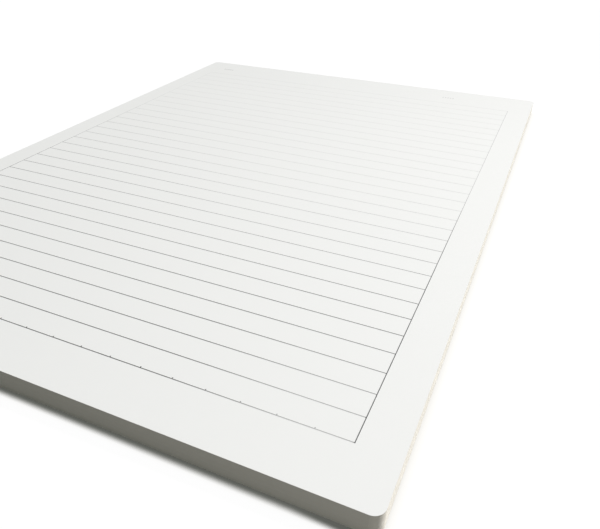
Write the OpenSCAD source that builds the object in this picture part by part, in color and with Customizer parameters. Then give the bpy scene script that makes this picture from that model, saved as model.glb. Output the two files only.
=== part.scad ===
// Pad of ruled paper, lying flat.
// The ruled side faces up (+Z), the head of the page points to +Y, and the pad rests on Z = 0.
// All sizes are in millimetres.

/* [Paper] */
// Width of a sheet
page_w = 210; // [100:1:420]
// Length of a sheet
page_l = 297; // [150:1:594]
// Radius of the rounded corners of the pad
corner_r = 3; // [0.5:0.5:12]
// Thickness of one sheet
sheet_t = 0.08; // [0.05:0.001:0.25]
// Number of sheets in the pad
sheet_count = 80; // [5:1:300]

/* [Ruled frame] */
// Margin between the right edge of the page and the frame
margin_right = 11.4; // [5:0.1:40]
// Margin between the left edge of the page and the frame
margin_left = 10.6; // [5:0.1:40]
// Margin between the foot of the page and the lowest line
margin_foot = 16.1; // [5:0.1:50]
// Least margin between the frame and the head of the page
margin_head = 24; // [12:0.5:60]
// Distance from one ruled line to the next
rule_pitch = 8.25; // [4:0.05:20]
// Width of a ruled line
rule_w = 0.27; // [0.1:0.01:1]
// Width of the two upright lines of the frame
border_w = 0.24; // [0.1:0.01:1.5]
// Height of the print above the sheet
ink_t = 0.02; // [0.01:0.01:0.2]

/* [Tick marks] */
// Distance from one tick mark on the lowest line to the next
tick_pitch = 9.7; // [5:0.1:30]
// Width of a tick mark
tick_w = 0.3; // [0.2:0.05:1.5]
// Height of a tick mark above the middle of the lowest line
tick_h = 0.5; // [0.3:0.05:3]

/* [Header marks] */
// Distance from the head of the page to the middle of the header marks
header_drop = 14.5; // [5:0.5:20]
// Width of a header mark
header_w = 6.5; // [3:0.1:20]
// Height of a header mark
header_h = 1.7; // [0.6:0.1:5]
// Number of upright strokes in a header mark
header_strokes = 5; // [2:1:12]
// Distance from the left line of the frame to the left header mark
header_left_in = 4; // [0:0.5:30]
// Distance from the right line of the frame to the right header mark
header_right_in = 31.5; // [0:0.5:60]

/* [Hidden] */
$fn = 64;
pad_h = sheet_t * sheet_count;

// The frame's upright lines and its lowest line, in the part's own coordinates
frame_left = -page_w / 2 + margin_left;
frame_right = page_w / 2 - margin_right;
frame_foot = -page_l / 2 + margin_foot;
frame_w = frame_right - frame_left;

// As many lines as fit between the two margins; the highest one closes the frame
rule_gaps = floor((page_l - margin_foot - margin_head) / rule_pitch);
frame_l = rule_gaps * rule_pitch;

// Tick marks run from the right line of the frame and stay clear of the left one
tick_count = floor((frame_w - border_w - tick_w) / tick_pitch);

// A header mark's strokes and the gaps between them are equally wide
header_y = page_l / 2 - header_drop;
stroke_w = header_w / (2 * header_strokes - 1);

module rounded_rectangle(w, l, r) {
    square([w - 2 * r, l], center = true);
    square([w, l - 2 * r], center = true);
    for (side = [-1, 1], end = [-1, 1])
        translate([side * (w / 2 - r), end * (l / 2 - r)])
            circle(r);
}

// A line along X from one side of the frame to the other, centred on y
module rule_at(y) {
    translate([frame_left, y - rule_w / 2])
        square([frame_w, rule_w]);
}

// An upright line of the frame, centred on x
module border_at(x) {
    translate([x - border_w / 2, frame_foot - rule_w / 2])
        square([border_w, frame_l + rule_w]);
}

// A tick mark that stands on the lowest line, centred on x
module tick_at(x) {
    translate([x - tick_w / 2, frame_foot])
        square([tick_w, tick_h]);
}

// A header mark from x rightwards: a row of plain upright strokes
module header_mark_at(x) {
    for (i = [0 : header_strokes - 1])
        translate([x + 2 * i * stroke_w, header_y - header_h / 2])
            square([stroke_w, header_h]);
}

// All sheets of the pad, one closed block
module paper_block() {
    color("whitesmoke")
        linear_extrude(pad_h)
            rounded_rectangle(page_w, page_l, corner_r);
}

// The ink on the top sheet
module printed_ruling() {
    color("dimgray")
        translate([0, 0, pad_h])
            linear_extrude(ink_t) {
                for (i = [0 : rule_gaps])
                    rule_at(frame_foot + i * rule_pitch);
                border_at(frame_left);
                border_at(frame_right);
                for (i = [1 : tick_count])
                    tick_at(frame_right - i * tick_pitch);
                header_mark_at(frame_left + header_left_in);
                header_mark_at(frame_right - header_right_in - header_w);
            }
}

paper_block();
printed_ruling();
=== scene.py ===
# %% [markdown]
# A pad of ruled paper, lying flat
#
# This lesson dresses a pad of ruled A4 paper. The solid model holds its true sizes: a block
# of paper with rounded corners, and a thin film of print on the top sheet. Here the block
# becomes a stack of single sheets, the print becomes ink, and soft lamps light them.
# The first step loads the solid model, which nothing here moves or changes.

import math

import bpy
from mathutils import Matrix, Vector


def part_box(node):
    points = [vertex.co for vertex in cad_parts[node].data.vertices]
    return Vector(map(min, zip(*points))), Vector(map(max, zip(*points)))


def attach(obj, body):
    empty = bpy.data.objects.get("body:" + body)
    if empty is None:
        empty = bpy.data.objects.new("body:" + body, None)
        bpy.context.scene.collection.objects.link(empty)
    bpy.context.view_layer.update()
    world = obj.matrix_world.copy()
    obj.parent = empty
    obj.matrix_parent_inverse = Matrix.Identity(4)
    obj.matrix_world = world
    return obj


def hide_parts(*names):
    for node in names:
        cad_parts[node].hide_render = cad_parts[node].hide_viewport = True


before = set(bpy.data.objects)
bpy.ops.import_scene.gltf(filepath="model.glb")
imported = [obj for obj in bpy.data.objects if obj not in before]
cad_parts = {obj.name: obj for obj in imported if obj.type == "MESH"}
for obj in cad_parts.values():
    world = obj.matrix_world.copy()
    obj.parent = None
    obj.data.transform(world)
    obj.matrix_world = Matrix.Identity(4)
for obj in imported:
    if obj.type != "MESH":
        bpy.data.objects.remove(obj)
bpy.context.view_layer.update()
MM = 0.001
block_low, block_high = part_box("paper_block")
block_size = block_high - block_low
print("CAD nodes:", sorted(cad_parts))
print("Paper block in mm:", [round(side / MM, 2) for side in block_size])

# %% [markdown]
# The camera
#
# The pad is seen from just above its right foot corner, so close that the left foot corner
# lies outside the picture. A camera could be aimed with a Track To constraint at an empty.
# A heading, a tilt and a roll do the same without another object, and each one can be
# changed by itself. A small sideways shift keeps the picture's cropped framing.

# %% Camera
CAMERA_PLACE = Vector((117.3, -222.8, 111.7)) * MM
CAMERA_HEADING = math.radians(24.72)
CAMERA_TILT = math.radians(57.6)
CAMERA_ROLL = math.radians(0.24)
CAMERA_LENS = 36.07
CAMERA_SHIFT_X = 0.0289
CAMERA_SHIFT_Y = 0.0008
NEAREST_VISIBLE = 10 * MM

camera_data = bpy.data.cameras.new("camera")
camera_data.lens = CAMERA_LENS
camera_data.shift_x = CAMERA_SHIFT_X
camera_data.shift_y = CAMERA_SHIFT_Y
camera_data.clip_start = NEAREST_VISIBLE
camera = bpy.data.objects.new("camera", camera_data)
bpy.context.scene.collection.objects.link(camera)
camera.matrix_world = (
    Matrix.Translation(CAMERA_PLACE)
    @ Matrix.Rotation(CAMERA_HEADING, 4, "Z")
    @ Matrix.Rotation(CAMERA_TILT, 4, "X")
    @ Matrix.Rotation(CAMERA_ROLL, 4, "Z")
)
bpy.context.scene.camera = camera
print("Camera height above the top sheet in mm:",
      round((CAMERA_PLACE.z - block_high.z) / MM, 1))

# %% [markdown]
# The lamps
#
# White paper shows its form only through light. A large soft lamp stands far behind the pad
# and to its right, so the right side is bright and the side at the foot is dark. A small lamp
# hangs closer, up on the right, and makes the top sheet a little brighter towards it. A weak
# one stands low beyond the right foot corner and keeps the side at the foot from going
# black. The share of the light that each lamp gives to a level sheet is chosen, and its power
# is worked out from that. With the surroundings, all shares together are about 1, so that a
# colour looks as it is written.

# %% Helpers for lamps
LAMP_COLOUR = (1.0, 0.983, 0.982)


def direction(heading, height_angle):
    """A unit vector towards a heading, counted from +X, at an angle above the table."""
    return Vector((
        math.cos(height_angle) * math.cos(heading),
        math.cos(height_angle) * math.sin(heading),
        math.sin(height_angle),
    ))


def add_soft_lamp(name, share, distance, heading, height_angle, size):
    """Adds a square lamp that gives a level sheet this share of its light."""
    lamp = bpy.data.lights.new(name, "AREA")
    lamp.size = size
    lamp.color = LAMP_COLOUR
    lamp.energy = share * math.pi ** 2 * distance ** 2 / math.sin(height_angle)
    place = direction(heading, height_angle) * distance
    lamp_object = bpy.data.objects.new(name, lamp)
    lamp_object.location = place
    lamp_object.rotation_euler = place.to_track_quat("Z", "Y").to_euler()
    bpy.context.scene.collection.objects.link(lamp_object)
    print(name, "power in watts:", round(lamp.energy, 2))


# %% Lamps
KEY_SHARE = 0.665
KEY_DISTANCE = 9.0
KEY_HEADING = math.radians(46)
KEY_HEIGHT_ANGLE = math.radians(40)
KEY_SIZE = 1.1
CORNER_SHARE = 0.18
CORNER_DISTANCE = 0.55
CORNER_HEADING = math.radians(5)
CORNER_HEIGHT_ANGLE = math.radians(52)
CORNER_SIZE = 0.1
FOOT_SHARE = 0.008
FOOT_DISTANCE = 0.465
FOOT_HEADING = math.radians(-46)
FOOT_HEIGHT_ANGLE = math.radians(8.7)
FOOT_SIZE = 0.1

add_soft_lamp("key_lamp", KEY_SHARE, KEY_DISTANCE, KEY_HEADING, KEY_HEIGHT_ANGLE, KEY_SIZE)
add_soft_lamp("corner_lamp", CORNER_SHARE, CORNER_DISTANCE, CORNER_HEADING,
              CORNER_HEIGHT_ANGLE, CORNER_SIZE)
add_soft_lamp("foot_lamp", FOOT_SHARE, FOOT_DISTANCE, FOOT_HEADING, FOOT_HEIGHT_ANGLE,
              FOOT_SIZE)

# %% [markdown]
# The surroundings
#
# The pad lies before plain white. A white world would light the paper from all sides and
# flatten it, so the world is white only to the eye: for the camera, in reflections and
# through glass. To the paper it is dim. The Light Path node tells these rays apart. A large
# white wall could do the same, but it would also need a light of its own.

# %% Helpers for node trees


def fill(tree, socket, value):
    """Links a socket to another one, or gives it a fixed value."""
    if isinstance(value, bpy.types.NodeSocket):
        tree.links.new(value, socket)
    else:
        socket.default_value = value


def add_node(tree, kind, settings=None, **inputs):
    """Adds a node, sets its properties, and fills its inputs by name."""
    node = tree.nodes.new(kind)
    for name, value in (settings or {}).items():
        setattr(node, name, value)
    for name, value in inputs.items():
        fill(tree, node.inputs[name.replace("_", " ")], value)
    return node


def calculate(tree, operation, *values):
    """Adds a Math node on numbers or sockets and returns its output."""
    node = add_node(tree, "ShaderNodeMath", {"operation": operation})
    for socket, value in zip(node.inputs, values):
        fill(tree, socket, value)
    return node.outputs[0]


def blend_shaders(tree, mask, first, second):
    """Goes from the first shader to the second as the mask goes from 0 to 1."""
    node = add_node(tree, "ShaderNodeMixShader")
    for socket, value in zip(node.inputs, (mask, first, second)):
        fill(tree, socket, value)
    return node.outputs[0]


def seen_directly(tree):
    """A mask that is 1 for the camera, for reflections and for what glass lets through."""
    path = add_node(tree, "ShaderNodeLightPath").outputs
    in_view = calculate(tree, "MAXIMUM", path["Is Camera Ray"], path["Is Glossy Ray"])
    return calculate(tree, "MAXIMUM", in_view, path["Is Transmission Ray"])


# %% Surroundings, white to the eye and dim to the paper
AMBIENT_SHARE = 0.135
AMBIENT_COLOUR = (0.88, 1.0, 0.97, 1.0)
WHITE = (1.0, 1.0, 1.0, 1.0)

world = bpy.data.worlds.new("surroundings")
world.use_nodes = True
bpy.context.scene.world = world
tree = world.node_tree
tree.nodes.clear()
ambient = add_node(tree, "ShaderNodeBackground", Color=AMBIENT_COLOUR, Strength=AMBIENT_SHARE)
backdrop = add_node(tree, "ShaderNodeBackground", Color=WHITE, Strength=1.0)
around = blend_shaders(tree, seen_directly(tree), ambient.outputs[0], backdrop.outputs[0])
add_node(tree, "ShaderNodeOutputWorld", Surface=around)

bpy.context.scene.view_settings.view_transform = "Standard"
print("All shares together:", round(KEY_SHARE + CORNER_SHARE + FOOT_SHARE + AMBIENT_SHARE, 3))

# %% [markdown]
# The table
#
# The pad lies on a plain white table, which is set a hair lower so that the two don't share
# a plane. A table that is only lit would look greyer than the backdrop, so this one also
# glows: white to the eye, and dim to the paper. A glow takes no shadow, so the shading beside
# the pad is painted into the glow's colour by Ambient Occlusion nodes, which measure how much
# of the space around a point is free. One is tilted to the far right, roughly towards the
# large lamp, and gives a painted shadow: the dark band at the foot. The other one is level and
# gives painted bounce light: the faint cream tint of light that comes back from the edges of
# the sheets.

# %% Table top
TABLE_SIZE = 8.0
TABLE_DROP = 0.02 * MM

table_mesh = bpy.data.meshes.new("table")
half = TABLE_SIZE / 2
table_mesh.from_pydata(
    [(-half, -half, 0), (half, -half, 0), (half, half, 0), (-half, half, 0)],
    [],
    [(0, 1, 2, 3)],
)
table = bpy.data.objects.new("table", table_mesh)
table.location.z = -TABLE_DROP
bpy.context.scene.collection.objects.link(table)
print("Side of the table in metres:", TABLE_SIZE)

# %% Helpers for masks


def ramp(tree, value, start, end, low=0.0, high=1.0, kind="LINEAR"):
    """Goes from low to high as the value goes from start to end."""
    node = add_node(
        tree, "ShaderNodeMapRange", {"interpolation_type": kind},
        Value=value, From_Min=start, From_Max=end, To_Min=low, To_Max=high,
    )
    return node.outputs[0]


def blend_colours(tree, mask, first, second):
    """Goes from the first colour to the second as the mask goes from 0 to 1."""
    node = add_node(tree, "ShaderNodeMix", {"data_type": "RGBA"})
    for number, value in ((0, mask), (6, first), (7, second)):
        fill(tree, node.inputs[number], value)
    return node.outputs[2]


def surface_place(tree):
    """The place of a surface point in its object, and its X and Y."""
    place = add_node(tree, "ShaderNodeTexCoord").outputs["Object"]
    parts = add_node(tree, "ShaderNodeSeparateXYZ", Vector=place).outputs
    return place, parts["X"], parts["Y"]


# %% Painted shadow: the dark band at the foot of the pad
CONTACT_HEADING = math.radians(34)
CONTACT_HEIGHT_ANGLE = math.radians(20)
CONTACT_REACH = 2.6 * MM
CONTACT_SAMPLES = 32
DARK_BELOW = 0.565
DARK_BELOW_AT_CORNER = 0.75
CORNER_START = Vector((86.0, -143.0)) * MM
CORNER_END = Vector((105.0, -149.0)) * MM

table_look = bpy.data.materials.new("white_table")
table_look.use_nodes = True
tree = table_look.node_tree
tree.nodes.clear()
_, place_x, place_y = surface_place(tree)
dark_at_foot = ramp(tree, place_y, CORNER_START.y, CORNER_END.y,
                    DARK_BELOW, DARK_BELOW_AT_CORNER)
dark_below = ramp(tree, place_x, CORNER_START.x, CORNER_END.x, DARK_BELOW, dark_at_foot)
to_lamp = direction(CONTACT_HEADING, CONTACT_HEIGHT_ANGLE)
tilted = add_node(tree, "ShaderNodeCombineXYZ", X=to_lamp.x, Y=to_lamp.y, Z=to_lamp.z)
free_to_lamp = add_node(
    tree, "ShaderNodeAmbientOcclusion", {"samples": CONTACT_SAMPLES},
    Distance=CONTACT_REACH, Normal=tilted.outputs[0],
)
# Painted shadow: where the space towards the lamp is taken, the table's glow turns dark.
painted_shadow_mask = ramp(tree, free_to_lamp.outputs["AO"], dark_below, 1.0, kind="SMOOTHSTEP")
print("Reach of the dark band in mm:", round(CONTACT_REACH / MM, 2))

# %% Painted bounce light: the cream tint beside the other edges
TINT_REACH = 3.5 * MM
TINT_SAMPLES = 16
HALF_FREE = 0.5

free_above = add_node(tree, "ShaderNodeAmbientOcclusion", {"samples": TINT_SAMPLES},
                      Distance=TINT_REACH)
# Painted bounce light: a cream tint where the space above the table is taken by the pad.
painted_bounce_mask = ramp(tree, free_above.outputs["AO"], HALF_FREE, 1.0)
print("Reach of the tint in mm:", round(TINT_REACH / MM, 2))

# %% Glow and surface of the table
# The colour of the painted shadow at the foot of the pad.
PAINTED_SHADOW_COLOUR = (0.104, 0.108, 0.096, 1.0)
# The colour of the painted bounce light beside the sheets' edges.
PAINTED_BOUNCE_TINT = (0.92, 0.905, 0.865, 1.0)
GLOW_ON_PAPER = 0.13
GLOW_TO_THE_EYE = 1.04
GLOW_SHARE = 0.93
TABLE_LIGHT = (0.92, 0.92, 0.92, 1.0)
TABLE_DARK = (0.88, 0.88, 0.88, 1.0)

# The painted bounce light is laid on the glow's colour here.
open_tone = blend_colours(tree, painted_bounce_mask, PAINTED_BOUNCE_TINT, WHITE)
# The painted shadow is laid over the glow's colour here.
glow_tone_with_painted_light = blend_colours(tree, painted_shadow_mask, PAINTED_SHADOW_COLOUR, open_tone)
strength = ramp(tree, seen_directly(tree), 0.0, 1.0, GLOW_ON_PAPER, GLOW_TO_THE_EYE)
glow = add_node(tree, "ShaderNodeEmission", Color=glow_tone_with_painted_light, Strength=strength)
grain = add_node(tree, "ShaderNodeTexNoise", Scale=40.0, Detail=3.0)
grain_tone = blend_colours(tree, grain.outputs["Fac"], TABLE_LIGHT, TABLE_DARK)
matt = add_node(tree, "ShaderNodeBsdfDiffuse", Color=grain_tone)
surface = blend_shaders(tree, GLOW_SHARE, matt.outputs[0], glow.outputs[0])
add_node(tree, "ShaderNodeOutputMaterial", Surface=surface)
table_mesh.materials.append(table_look)
print("Nodes in the table's material:", len(tree.nodes))

# %% [markdown]
# Paper fibres, for the sheets and for the ink on them
#
# Paper is a felt of short fibres. Two things show: clouds a few millimetres wide, where the
# felt is thicker or thinner, and the fibres themselves, which roughen the surface. A picture
# of scanned paper could give both, but noise needs no picture and has no seams. The sheets'
# faces, their cut edges and the ink all need it, so it is a node group with its own inputs.

# %% Node group for paper fibres
CLOUDS_PER_METRE = 150.0
FIBRES_PER_METRE = 2500.0

fibres = bpy.data.node_groups.new("paper_fibres", "ShaderNodeTree")
for name, kind, default in (
    ("Place", "NodeSocketVector", None),
    ("Clouds per metre", "NodeSocketFloat", CLOUDS_PER_METRE),
    ("Fibres per metre", "NodeSocketFloat", FIBRES_PER_METRE),
):
    socket = fibres.interface.new_socket(name, in_out="INPUT", socket_type=kind)
    if default is not None:
        socket.default_value = default
for name in ("Clouds", "Fibres"):
    fibres.interface.new_socket(name, in_out="OUTPUT", socket_type="NodeSocketFloat")

group_in = add_node(fibres, "NodeGroupInput").outputs
clouds = add_node(
    fibres, "ShaderNodeTexNoise",
    Vector=group_in["Place"], Scale=group_in["Clouds per metre"],
    Detail=3.0, Roughness=0.55,
)
felt = add_node(
    fibres, "ShaderNodeTexNoise",
    Vector=group_in["Place"], Scale=group_in["Fibres per metre"],
    Detail=4.0, Roughness=0.7, Distortion=1.2,
)
add_node(fibres, "NodeGroupOutput", Clouds=clouds.outputs["Fac"], Fibres=felt.outputs["Fac"])
print("Group inputs:", [socket.name for socket in group_in if socket.name])

# %% Helpers for materials with fibres


def start_material(name, roughness, specular):
    """Returns a new material, its tree, its shader and the outputs of its fibres."""
    material = bpy.data.materials.new(name)
    material.use_nodes = True
    tree = material.node_tree
    shader = tree.nodes["Principled BSDF"]
    shader.inputs["Roughness"].default_value = roughness
    shader.inputs["Specular IOR Level"].default_value = specular
    place = add_node(tree, "ShaderNodeTexCoord").outputs["Object"]
    felt = add_node(tree, "ShaderNodeGroup", {"node_tree": fibres}, Place=place)
    return material, tree, shader, felt.outputs


def finish_material(tree, shader, tone, height, strength, depth):
    """Gives a shader its colour, and bumps its surface by a height mask."""
    bump = add_node(tree, "ShaderNodeBump", Height=height, Strength=strength, Distance=depth)
    fill(tree, shader.inputs["Base Color"], tone)
    fill(tree, shader.inputs["Normal"], bump.outputs["Normal"])
    print("Nodes in the material:", len(tree.nodes))


# %% [markdown]
# The face of a sheet
#
# Writing paper is nearly white and matt. Its clouds change the tone by about one part in a
# hundred, which is too little to see as a pattern but keeps the sheet from looking like
# plastic. The fibres give a very fine bump.

# %% Sheet faces
PAPER_WHITE = (0.887, 0.889, 0.875, 1.0)
PAPER_CLOUD = (0.874, 0.877, 0.862, 1.0)

page_face, tree, shader, felt = start_material("page_face", roughness=0.85, specular=0.15)
tone = blend_colours(tree, felt["Clouds"], PAPER_WHITE, PAPER_CLOUD)
finish_material(tree, shader, tone, felt["Fibres"], strength=0.25, depth=0.01 * MM)

# %% [markdown]
# The cut edges of the sheets
#
# Seen from the side, a stack of white paper is creamy, because light that goes in between
# the sheets comes out yellower. Each sheet has a tone of its own, which the stack below
# stores on it as an attribute, and fine streaks run along the cut. One noise could tint the
# whole side, but then the tone would not change from one sheet to the next.

# %% Sheet edges
EDGE_LIGHT = (0.92, 0.875, 0.77, 1.0)
EDGE_DARK = (0.865, 0.81, 0.70, 1.0)
EDGE_STREAKS = (60.0, 60.0, 9000.0)
STREAK_SHARE = 0.5

page_edge, tree, shader, felt = start_material("page_edge", roughness=0.95, specular=0.0)
place = add_node(tree, "ShaderNodeTexCoord").outputs["Object"]
stretched = add_node(tree, "ShaderNodeMapping", Vector=place, Scale=EDGE_STREAKS).outputs[0]
streaks = add_node(tree, "ShaderNodeTexNoise", Vector=stretched, Scale=1.0, Detail=2.0)
sheet_tone = add_node(tree, "ShaderNodeAttribute", {"attribute_name": "sheet_tone"})
tone_part = calculate(tree, "MULTIPLY", sheet_tone.outputs["Fac"], 1.0 - STREAK_SHARE)
edge_mask = calculate(tree, "MULTIPLY_ADD", streaks.outputs["Fac"], STREAK_SHARE, tone_part)
tone = blend_colours(tree, edge_mask, EDGE_LIGHT, EDGE_DARK)
finish_material(tree, shader, tone, felt["Fibres"], strength=0.35, depth=0.02 * MM)

# %% [markdown]
# The stack of sheets
#
# A pad is one outline repeated eighty times, so Geometry Nodes build it. The outline is a
# rectangle with filleted corners. It is filled, thickened to one sheet, and set on a row of
# points, one above the other. Each point moves sideways by a hair, because a cut stack is
# never perfectly flush, and stores a random tone for its edge. An Array modifier could
# repeat the sheet too, but it can't shift and tint each one by itself.

# %% Sizes of the stack
SHEET_COUNT = 80
SHEET_PITCH = block_size.z / SHEET_COUNT
SHEET_THICKNESS = SHEET_PITCH * 0.93
CORNER_RADIUS = 3.0 * MM
CORNER_POINTS = 14
SHIFT = 0.008 * MM
SHEET_SIZE = (block_size.x - 2 * SHIFT, block_size.y - 2 * SHIFT)
STACK_SEED = 7
print("Sheet pitch in mm:", round(SHEET_PITCH / MM, 4))

# %% Inputs of the stack's node tree
stack_tree = bpy.data.node_groups.new("stack_of_sheets", "GeometryNodeTree")
stack_tree.interface.new_socket("Geometry", in_out="OUTPUT", socket_type="NodeSocketGeometry")
stack_inputs = {}
for name, kind in (
    ("Width", "NodeSocketFloat"),
    ("Length", "NodeSocketFloat"),
    ("Corner radius", "NodeSocketFloat"),
    ("Corner points", "NodeSocketInt"),
    ("Thickness", "NodeSocketFloat"),
    ("Pitch", "NodeSocketFloat"),
    ("Sheets", "NodeSocketInt"),
    ("Shift", "NodeSocketFloat"),
    ("Seed", "NodeSocketInt"),
):
    stack_inputs[name] = stack_tree.interface.new_socket(
        name, in_out="INPUT", socket_type=kind
    ).identifier

given = add_node(stack_tree, "NodeGroupInput").outputs
print("Inputs of the stack:", list(stack_inputs))

# %% One sheet
MERGE_DISTANCE = 0.001 * MM

rectangle = add_node(
    stack_tree, "GeometryNodeCurvePrimitiveQuadrilateral",
    Width=given["Width"], Height=given["Length"],
)
rounded = add_node(
    stack_tree, "GeometryNodeFilletCurve", {"mode": "POLY"},
    Curve=rectangle.outputs[0], Radius=given["Corner radius"], Count=given["Corner points"],
)
filled = add_node(
    stack_tree, "GeometryNodeFillCurve", {"mode": "NGONS"}, Curve=rounded.outputs[0]
)
thickened = add_node(
    stack_tree, "GeometryNodeExtrudeMesh", {"mode": "FACES"},
    Mesh=filled.outputs[0], Offset_Scale=given["Thickness"], Individual=False,
)
underside = add_node(stack_tree, "GeometryNodeFlipFaces", Mesh=filled.outputs[0])
both = add_node(stack_tree, "GeometryNodeJoinGeometry")
fill(stack_tree, both.inputs[0], thickened.outputs["Mesh"])
fill(stack_tree, both.inputs[0], underside.outputs[0])
one_sheet = add_node(
    stack_tree, "GeometryNodeMergeByDistance", Geometry=both.outputs[0], Distance=MERGE_DISTANCE
)
print("Nodes up to one sheet:", len(stack_tree.nodes))

# %% A row of points, each a hair to one side, but the top one true


def compare(tree, operation, first, second):
    """Adds a Compare node on two numbers or sockets and returns its output."""
    node = add_node(
        tree, "FunctionNodeCompare", {"data_type": "FLOAT", "operation": operation}
    )
    fill(tree, node.inputs[0], first)
    fill(tree, node.inputs[1], second)
    return node.outputs[0]


step = add_node(stack_tree, "ShaderNodeCombineXYZ", Z=given["Pitch"])
points = add_node(
    stack_tree, "GeometryNodeMeshLine", {"mode": "OFFSET", "count_mode": "TOTAL"},
    Count=given["Sheets"], Offset=step.outputs[0],
)
index = add_node(stack_tree, "GeometryNodeInputIndex").outputs[0]
top_index = calculate(stack_tree, "SUBTRACT", given["Sheets"], 1.0)
below_top = compare(stack_tree, "LESS_THAN", index, top_index)
back = calculate(stack_tree, "MULTIPLY", given["Shift"], -1.0)
low_corner = add_node(stack_tree, "ShaderNodeCombineXYZ", X=back, Y=back)
high_corner = add_node(stack_tree, "ShaderNodeCombineXYZ", X=given["Shift"], Y=given["Shift"])
sideways = add_node(
    stack_tree, "FunctionNodeRandomValue", {"data_type": "FLOAT_VECTOR"}, Seed=given["Seed"]
)
fill(stack_tree, sideways.inputs[0], low_corner.outputs[0])
fill(stack_tree, sideways.inputs[1], high_corner.outputs[0])
moved = add_node(
    stack_tree, "GeometryNodeSetPosition",
    Geometry=points.outputs[0], Selection=below_top, Offset=sideways.outputs[0],
)
print("Nodes up to the row of points:", len(stack_tree.nodes))

# %% The sheets on their points, each with a random tone
sheets = add_node(
    stack_tree, "GeometryNodeInstanceOnPoints",
    Points=moved.outputs[0], Instance=one_sheet.outputs[0],
)
random_tone = add_node(
    stack_tree, "FunctionNodeRandomValue", {"data_type": "FLOAT"}, Seed=given["Seed"]
)
toned = add_node(
    stack_tree, "GeometryNodeStoreNamedAttribute",
    {"data_type": "FLOAT", "domain": "INSTANCE"},
    Geometry=sheets.outputs[0], Name="sheet_tone",
)
tone_input = [s for s in toned.inputs if s.name == "Value" and s.enabled][0]
fill(stack_tree, tone_input, random_tone.outputs[1])
solid = add_node(stack_tree, "GeometryNodeRealizeInstances", Geometry=toned.outputs[0])
print("Nodes up to the stack:", len(stack_tree.nodes))

# %% Materials of the faces and the edges
STEEP = 0.5

with_edges = add_node(
    stack_tree, "GeometryNodeSetMaterial", Geometry=solid.outputs[0], Material=page_edge
)
normal = add_node(stack_tree, "GeometryNodeInputNormal")
normal_parts = add_node(stack_tree, "ShaderNodeSeparateXYZ", Vector=normal.outputs[0])
level = calculate(stack_tree, "ABSOLUTE", normal_parts.outputs["Z"])
is_face = compare(stack_tree, "GREATER_THAN", level, STEEP)
with_faces = add_node(
    stack_tree, "GeometryNodeSetMaterial",
    Geometry=with_edges.outputs[0], Selection=is_face, Material=page_face,
)
add_node(stack_tree, "NodeGroupOutput", Geometry=with_faces.outputs[0])
print("Nodes in the whole tree:", len(stack_tree.nodes))

# %% Run the tree
carrier = bpy.data.objects.new("sheet_carrier", bpy.data.meshes.new("sheet_carrier"))
bpy.context.scene.collection.objects.link(carrier)
modifier = carrier.modifiers.new("stack_of_sheets", "NODES")
modifier.node_group = stack_tree
for name, value in (
    ("Width", SHEET_SIZE[0]),
    ("Length", SHEET_SIZE[1]),
    ("Corner radius", CORNER_RADIUS),
    ("Corner points", CORNER_POINTS),
    ("Thickness", SHEET_THICKNESS),
    ("Pitch", SHEET_PITCH),
    ("Sheets", SHEET_COUNT),
    ("Shift", SHIFT),
    ("Seed", STACK_SEED),
):
    modifier[stack_inputs[name]] = value

graph = bpy.context.evaluated_depsgraph_get()
stack_mesh = bpy.data.meshes.new_from_object(
    carrier.evaluated_get(graph), preserve_all_data_layers=True, depsgraph=graph
)
bpy.data.objects.remove(carrier)
print("Faces in the stack:", len(stack_mesh.polygons))

# %% Set the stack in the place of the block
lowest_underside = block_high.z - SHEET_PITCH * (SHEET_COUNT - 1) - SHEET_THICKNESS
stack_mesh.transform(Matrix.Translation((0, 0, lowest_underside)))
stack = bpy.data.objects.new("sheets", stack_mesh)
bpy.context.scene.collection.objects.link(stack)
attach(stack, "root")
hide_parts("paper_block")
print("Underside of the lowest sheet in mm:", round(lowest_underside / MM, 4))

# %% [markdown]
# The printed lines
#
# Ruled lines are printed in dark grey ink, which soaks into the fibres and isn't equally
# dense everywhere. The lines are darkest along the foot, thinner near the right foot corner,
# and fade towards the head, later on the left than on the right. The right upright line of
# the frame stays dark for longer, and the two header marks have a density of their own. A
# painted picture could hold all this, but a few Map Range nodes on the place in the page are
# enough and stay sharp. The film of print keeps its solid model, and only its material is
# made here: a mix of paper and ink by a density mask.

# %% Density of the ruled lines towards the head
X_AT_LEFT = -80.0 * MM
X_LEFT_OF_MIDDLE = -40.0 * MM
X_RIGHT_OF_MIDDLE = 10.0 * MM
X_AT_RIGHT = 60.0 * MM
FADE_START_LEFT = -125.0 * MM
FADE_START_RIGHT = -110.0 * MM
FADE_END_LEFT = 85.0 * MM
FADE_END_RIGHT = 5.0 * MM
HEAD_DENSITY = 0.21
FADE_OUT_START = 20.0 * MM
FADE_OUT_END = 100.0 * MM
FAR_DENSITY = 0.14

ink, tree, shader, felt = start_material("ruling_ink", roughness=0.75, specular=0.15)
place, place_x, place_y = surface_place(tree)
fade_start = ramp(tree, place_x, X_LEFT_OF_MIDDLE, X_RIGHT_OF_MIDDLE,
                  FADE_START_LEFT, FADE_START_RIGHT)
fade_end = ramp(tree, place_x, X_AT_LEFT, X_RIGHT_OF_MIDDLE, FADE_END_LEFT, FADE_END_RIGHT)
head_density = ramp(tree, place_y, FADE_OUT_START, FADE_OUT_END, HEAD_DENSITY, FAR_DENSITY)
towards_head = ramp(tree, place_y, fade_start, fade_end, 1.0, head_density,
                    kind="SMOOTHSTEP")
print("Densities from foot to head:", 1.0, HEAD_DENSITY, FAR_DENSITY)

# %% Density of the ruled lines near the right foot corner
FAINT_PLACE = Vector((86.0 * MM, -134.0 * MM, block_high.z))
FAINT_SIZE = Vector((55.0 * MM, 58.0 * MM, 1.0))
FAINT_DENSITY = 0.48

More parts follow.
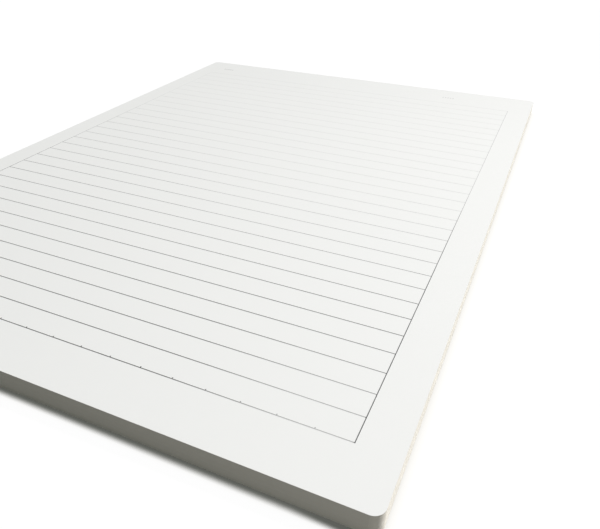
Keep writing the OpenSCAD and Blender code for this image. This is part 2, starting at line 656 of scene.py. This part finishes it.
in_patch = add_node(
    tree, "ShaderNodeMapping", {"vector_type": "TEXTURE"},
    Vector=place, Location=FAINT_PLACE, Scale=FAINT_SIZE,
)
from_patch = add_node(tree, "ShaderNodeVectorMath", {"operation": "LENGTH"})
fill(tree, from_patch.inputs[0], in_patch.outputs[0])
near_corner = ramp(tree, from_patch.outputs["Value"], 0.0, 1.0, FAINT_DENSITY, 1.0,
                   kind="SMOOTHSTEP")
rule_density = calculate(tree, "MULTIPLY", towards_head, near_corner)
print("Least density near the corner:", FAINT_DENSITY)

# %% Density of the right upright line and of the header marks
UPRIGHT_EDGE = 93.3 * MM
UPRIGHT_EDGE_WIDTH = 0.1 * MM
UPRIGHT_FADE_START = -75.0 * MM
UPRIGHT_FADE_END = 25.0 * MM
UPRIGHT_DENSITY = 0.95
UPRIGHT_FAR_DENSITY = 0.34
HEADER_EDGE = 125.0 * MM
HEADER_EDGE_WIDTH = 1.0 * MM
HEADER_DENSITY_LEFT = 0.30
HEADER_DENSITY_RIGHT = 0.19


def blend_numbers(tree, mask, first, second):
    """Goes from the first number to the second as the mask goes from 0 to 1."""
    node = add_node(tree, "ShaderNodeMix", {"data_type": "FLOAT"})
    for number, value in ((0, mask), (2, first), (3, second)):
        fill(tree, node.inputs[number], value)
    return node.outputs[0]


upright_density = ramp(tree, place_y, UPRIGHT_FADE_START, UPRIGHT_FADE_END,
                       UPRIGHT_DENSITY, UPRIGHT_FAR_DENSITY, kind="SMOOTHSTEP")
on_upright = ramp(tree, place_x, UPRIGHT_EDGE, UPRIGHT_EDGE + UPRIGHT_EDGE_WIDTH)
frame_density = blend_numbers(tree, on_upright, rule_density, upright_density)
header_density = ramp(tree, place_x, X_AT_LEFT, X_AT_RIGHT,
                      HEADER_DENSITY_LEFT, HEADER_DENSITY_RIGHT)
on_header = ramp(tree, place_y, HEADER_EDGE, HEADER_EDGE + HEADER_EDGE_WIDTH)
density = blend_numbers(tree, on_header, frame_density, header_density)
print("Densities of the header marks:", HEADER_DENSITY_LEFT, HEADER_DENSITY_RIGHT)

# %% Ink
INK_GREY = (0.06, 0.06, 0.062, 1.0)
THIN_FELT = 0.3
THICK_FELT = 0.7
LEAST_SOAKED = 0.9

soaked = ramp(tree, felt["Fibres"], THIN_FELT, THICK_FELT, LEAST_SOAKED, 1.0)
inked = calculate(tree, "MULTIPLY", density, soaked)
tone = blend_colours(tree, inked, PAPER_WHITE, INK_GREY)
finish_material(tree, shader, tone, felt["Fibres"], strength=0.25, depth=0.01 * MM)

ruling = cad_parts["printed_ruling"]
ruling.data.materials.clear()
ruling.data.materials.append(ink)
